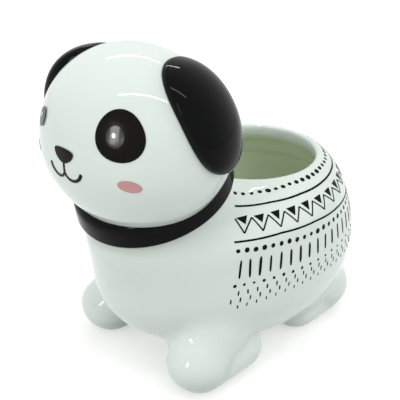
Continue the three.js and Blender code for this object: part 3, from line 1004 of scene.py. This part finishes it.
# A brush dash, full in its middle and blunt at its ends
def dashShape(length, width, steps=6, blunt=0.55):
    points, faces = [], []
    for i in range(steps + 1):
        y = (i / steps - 0.5) * length
        full = math.sqrt(max(0, 1 - (2 * i / steps - 1) ** 4))
        half = width / 2 * (blunt + (1 - blunt) * full)
        points += [(-half, y), (half, y)]
    for i in range(steps):
        faces.append((2 * i, 2 * i + 1, 2 * i + 3, 2 * i + 2))
    return points, faces


def triangleShape(width, height, steps=4):
    points, faces = [(0, -height / 2)], []
    for i in range(1, steps + 1):
        y = (i / steps - 0.5) * height
        half = width / 2 * i / steps
        points += [(-half, y), (0, y), (half, y)]
    faces += [(0, 2, 1), (0, 3, 2)]
    for i in range(steps - 1):
        a, b = 1 + 3 * i, 4 + 3 * i
        faces += [(a, a + 1, b + 1, b), (a + 1, a + 2, b + 2, b + 1)]
    return points, faces


def drift(kind):
    return dice.uniform(-stray[kind], stray[kind])


# Elevations of each row at the stations, in degrees, and sizes in mm
dotRows = [
    {"at": (44.7, 45.6, 45.2, 42.7, 40.0, 36.2), "first": 0.4, "period": 3.6,
     "radius": 0.98, "squeeze": 0},
    {"at": (19.7, 19.8, 18.9, 18.3, 17.4, 15.7), "first": 2.0, "period": 4.23,
     "radius": 0.97, "squeeze": 0.12},
    {"at": (4.4, 3.9, 3.4, 3.3, 3.3, 2.8), "first": 1.0, "period": 5.0,
     "radius": 0.62, "squeeze": 0.2},
]
for row in dotRows:
    for bearing in bearingsAlong(row["at"], row["first"], row["period"], row["squeeze"]):
        radius = row["radius"] * (1 + drift("dot"))
        at = frameAt(bearing, between(row["at"], bearing) + drift("dotRise"))
        scale = (radius * (1 + drift("dotWidth")), radius * (1 + drift("dotHeight")))
        press(dotPoints, dotFaces, at, scale, drift("dotTurn"))

dashRows = [
    {"top": (15.8, 15.8, 15.2, 15.0, 14.6, 13.0), "foot": (7.3, 7.5, 7.2, 6.8, 6.5, 5.5),
     "first": 3.1, "period": 5.35, "width": 1.08, "squeeze": 0.2, "turn": 0.04},
    {"top": (1.6, 1.7, 1.3, 1.1, 1.1, 0.8), "foot": (-0.7, -0.6, -0.9, -1.1, -1.1, -1.4),
     "first": 2.6, "period": 4.8, "width": 0.6, "squeeze": 0.15, "turn": 0.12},
    {"top": (-1.9, -1.3, -1.3, -1.5, -1.5, -1.9), "foot": (-4.2, -3.6, -3.6, -3.8, -3.8, -4.2),
     "first": -0.6, "period": 4.8, "width": 0.56, "squeeze": 0.15, "turn": 0.12},
    {"top": (-5.6, -4.6, -4.4, -4.4, -4.5, -4.8), "foot": (-7.3, -6.3, -6.1, -6.1, -6.2, -6.5),
     "first": 2.3, "period": 4.8, "width": 0.52, "squeeze": 0.15, "turn": 0.12},
]
for row in dashRows:
    middles = [(a + b) / 2 for a, b in zip(row["top"], row["foot"])]
    for bearing in bearingsAlong(middles, row["first"], row["period"], row["squeeze"]):
        top = onSkin(bearing, between(row["top"], bearing))[0]
        foot = onSkin(bearing, between(row["foot"], bearing))[0]
        length = (top - foot).length / mm * (1 + drift("dashLength"))
        points, faces = dashShape(length, row["width"] * (1 + drift("dashWidth")))
        press(points, faces, frameAt(bearing, between(middles, bearing)),
              turn=rows["lean"] + dice.uniform(-row["turn"], row["turn"]))

# Two long lines, a zigzag between them and a triangle in each of its valleys
lineRows = [
    {"at": (37.5, 38.7, 38.4, 36.8, 34.9, 31.8), "first": 0.3, "period": 1.2, "width": 0.88},
    {"at": (22.8, 24.4, 24.0, 22.1, 20.0, 18.2), "first": 0.3, "period": 1.2, "width": 0.78},
]


# A ribbon along spots on the skin
def pressLine(spots, width):
    last = len(spots) - 1
    edges = []
    for i, (spot, normal) in enumerate(spots):
        along = (spots[min(i + 1, last)][0] - spots[max(i - 1, 0)][0]).normalized()
        side = normal.cross(along).normalized() * width * (1 + drift("line")) / 2 * mm
        pair = []
        for start in (spot + side, spot - side):
            hit, out = dropped(start, normal)
            pair.append(printMesh.verts.new(hit + out * rows["lift"] * mm))
        edges.append(pair)
    for a, b in zip(edges, edges[1:]):
        printMesh.faces.new((a[0], a[1], b[1], b[0]))


for row in lineRows:
    bearings = bearingsAlong(row["at"], row["first"], row["period"])
    pressLine([onSkin(b, between(row["at"], b)) for b in bearings], row["width"])

zigzag = {"peak": (31.8, 33.1, 33.1, 31.7, 30.0, 27.7),
          "valley": (25.7, 26.9, 26.8, 25.9, 24.9, 22.5),
          "period": 9.1, "first": 0.5, "width": 0.62, "squeeze": 0.15, "steps": 8,
          "triangle": (4.6, 3.9), "triangleUp": 0.34}
peaks = bearingsAlong(zigzag["valley"], zigzag["first"], zigzag["period"], zigzag["squeeze"])
corners = []
for i, bearing in enumerate(peaks):
    corners.append((bearing, between(zigzag["peak"], bearing)))
    if i + 1 < len(peaks):
        middle = (bearing + peaks[i + 1]) / 2
        corners.append((middle, between(zigzag["valley"], middle)))
for (b0, e0), (b1, e1) in zip(corners, corners[1:]):
    start, end = onSkin(b0, e0), onSkin(b1, e1)
    normal = (start[1] + end[1]).normalized()
    parts = [i / zigzag["steps"] for i in range(zigzag["steps"] + 1)]
    pressLine([dropped(start[0].lerp(end[0], t), normal) for t in parts], zigzag["width"])
points, faces = triangleShape(*zigzag["triangle"])
for bearing, elevation in corners[1::2]:
    top = between(zigzag["peak"], bearing)
    middle = elevation + (top - elevation) * (0.5 + zigzag["triangleUp"])
    scale = (1 + drift("triangle"), 1 + drift("triangle"))
    press(points, faces, frameAt(bearing, middle), scale, drift("triangleTurn"))

bmesh.ops.recalc_face_normals(printMesh, faces=printMesh.faces)
for one in printMesh.faces:
    if one.normal.dot(one.calc_center_median() - rowsEye) < 0:
        one.normal_flip()
mesh = bpy.data.meshes.new("printed_rows")
printMesh.to_mesh(mesh)
printMesh.free()
printedRows = newObject("printed_rows", mesh)
modify(printedRows, "SOLIDIFY", thickness=rows["depth"] * mm, offset=-1)
place(printedRows, "planter", "black_enamel", rowMaterial)
print("printed rows", len(printedRows.data.polygons), "faces")

# Stopper: turned from its profile, with soft edges
stopper = {"shank": 4.7, "low": 1.5, "flange": 8, "flangeLow": 6.1, "flangeTop": 8.6,
           "knob": 3.5, "knobTop": 11.6, "soft": 0.5}
plug = turned("rubber_stopper", [
    (stopper["shank"], stopper["low"]), (stopper["shank"], stopper["flangeLow"]),
    (stopper["flange"], stopper["flangeLow"]), (stopper["flange"], stopper["flangeTop"]),
    (stopper["knob"], stopper["flangeTop"]), (stopper["knob"], stopper["knobTop"]),
], footMiddle + shiftY)
tidyNormals(plug)
modify(plug, "BEVEL", width=stopper["soft"] * mm, segments=3, limit_method="ANGLE")
place(plug, "stopper", "rubber", rubberMaterial, "drain_plug")
print("stopper")

# Floor, light and camera
studio = {"floor": "#c9cac8", "floorSize": 6, "floorRoughness": 0.9, "shadowShare": 0.48,
          "world": 0.5, "azimuth": 44.47, "elevation": 27.75, "distance": 340,
          "lens": 71.63, "sensor": 36, "near": 0.01, "target": (0, -5.76, 65.7)}
bpy.ops.mesh.primitive_plane_add(size=studio["floorSize"])
floor = added("floor")


# 1 for the rays that the camera sees, straight on, mirrored or through glass, and else 0
def seenRays(tree):
    path = addNode(tree, "ShaderNodeLightPath").outputs
    seen = calculate(tree, "MAXIMUM", path["Is Camera Ray"], path["Is Glossy Ray"])
    return calculate(tree, "MAXIMUM", seen, path["Is Transmission Ray"])


# Pale matt paper. For seen rays part of its white is light of its own, so shadows stay soft.
material, tree, shader = newMaterial("pale_floor")
shader.inputs["Base Color"].default_value = linear(studio["floor"])
shader.inputs["Roughness"].default_value = studio["floorRoughness"]
share = calculate(tree, "MULTIPLY", seenRays(tree), 1 - studio["shadowShare"])
white = addNode(tree, "ShaderNodeEmission", None, {"Color": (1, 1, 1, 1), "Strength": share})
mixed = addNode(tree, "ShaderNodeAddShader", None,
                {0: shader.outputs["BSDF"], 1: white.outputs["Emission"]})
tree.links.new(mixed.outputs["Shader"], tree.nodes["Material Output"].inputs["Surface"])
floor.data.materials.append(material)

# The world is white to seen rays and dimmer as a light
world = bpy.data.worlds.new("studio")
world.use_nodes = True
bpy.context.scene.world = world
tree = world.node_tree
background = tree.nodes["Background"].inputs
background["Color"].default_value = (1, 1, 1, 1)
tree.links.new(calculate(tree, "MAXIMUM", seenRays(tree), studio["world"]),
               background["Strength"])

target = Vector(studio["target"]) * mm
a, e = math.radians(studio["azimuth"]), math.radians(studio["elevation"])
back = Vector((math.sin(a) * math.cos(e), -math.cos(a) * math.cos(e), math.sin(e)))
cameraData = bpy.data.cameras.new("camera")
cameraData.lens = studio["lens"]
cameraData.sensor_width = studio["sensor"]
cameraData.clip_start = studio["near"]
camera = newObject("camera", cameraData)
camera.location = target + back * studio["distance"] * mm
camera.rotation_euler = back.to_track_quat("Z", "Y").to_euler()
bpy.context.scene.camera = camera

# Four softboxes light the object. A window and two tubes draw the lines in its gloss.
lamps = [
    {"name": "topSoftbox", "at": (0.0, 0.45, 0.9), "size": (0.7, 0.7), "power": 1.3},
    {"name": "frontSoftbox", "at": (-0.45, -0.85, 0.3), "size": (0.7, 0.7), "power": 1.8},
    {"name": "rightSoftbox", "at": (0.78, -0.14, 0.82), "size": (0.6, 0.6), "power": 2.4},
    {"name": "rearSoftbox", "at": (0.86, 0.6, 0.2), "size": (0.7, 0.7), "power": 1.8},
    {"name": "frontWindow", "at": (0.09, -0.89, 0.44), "size": (0.13, 0.34), "power": 1.2,
     "seen": True},
    {"name": "rearTube", "from": (-0.66, 0.13, 0.75), "to": (-0.26, 0.52, 0.80),
     "width": 0.02, "power": 1.5},
    {"name": "frontTube", "from": (-0.13, -0.51, 0.946), "to": (0.48, 0.05, 0.946),
     "width": 0.02, "power": 1.5},
]
for lamp in lamps:
    data = bpy.data.lights.new(lamp["name"], "AREA")
    data.shape = "RECTANGLE"
    data.energy = lamp["power"]
    light = newObject(lamp["name"], data)
    if "at" in lamp:
        data.size, data.size_y = lamp["size"]
        light.visible_glossy = "seen" in lamp
        light.location = lamp["at"]
        light.rotation_euler = (Vector(lamp["at"]) - target).to_track_quat("Z", "Y").to_euler()
    else:
        start, end = Vector(lamp["from"]), Vector(lamp["to"])
        data.size, data.size_y = (end - start).length, lamp["width"]
        light.location = (start + end) / 2
        along = (end - start).normalized()
        facing = (light.location - target).normalized()
        facing = (facing - along * facing.dot(along)).normalized()
        light.matrix_world = Matrix.Translation(light.location) @ Matrix(
            (along, facing.cross(along), facing)).transposed().to_4x4()
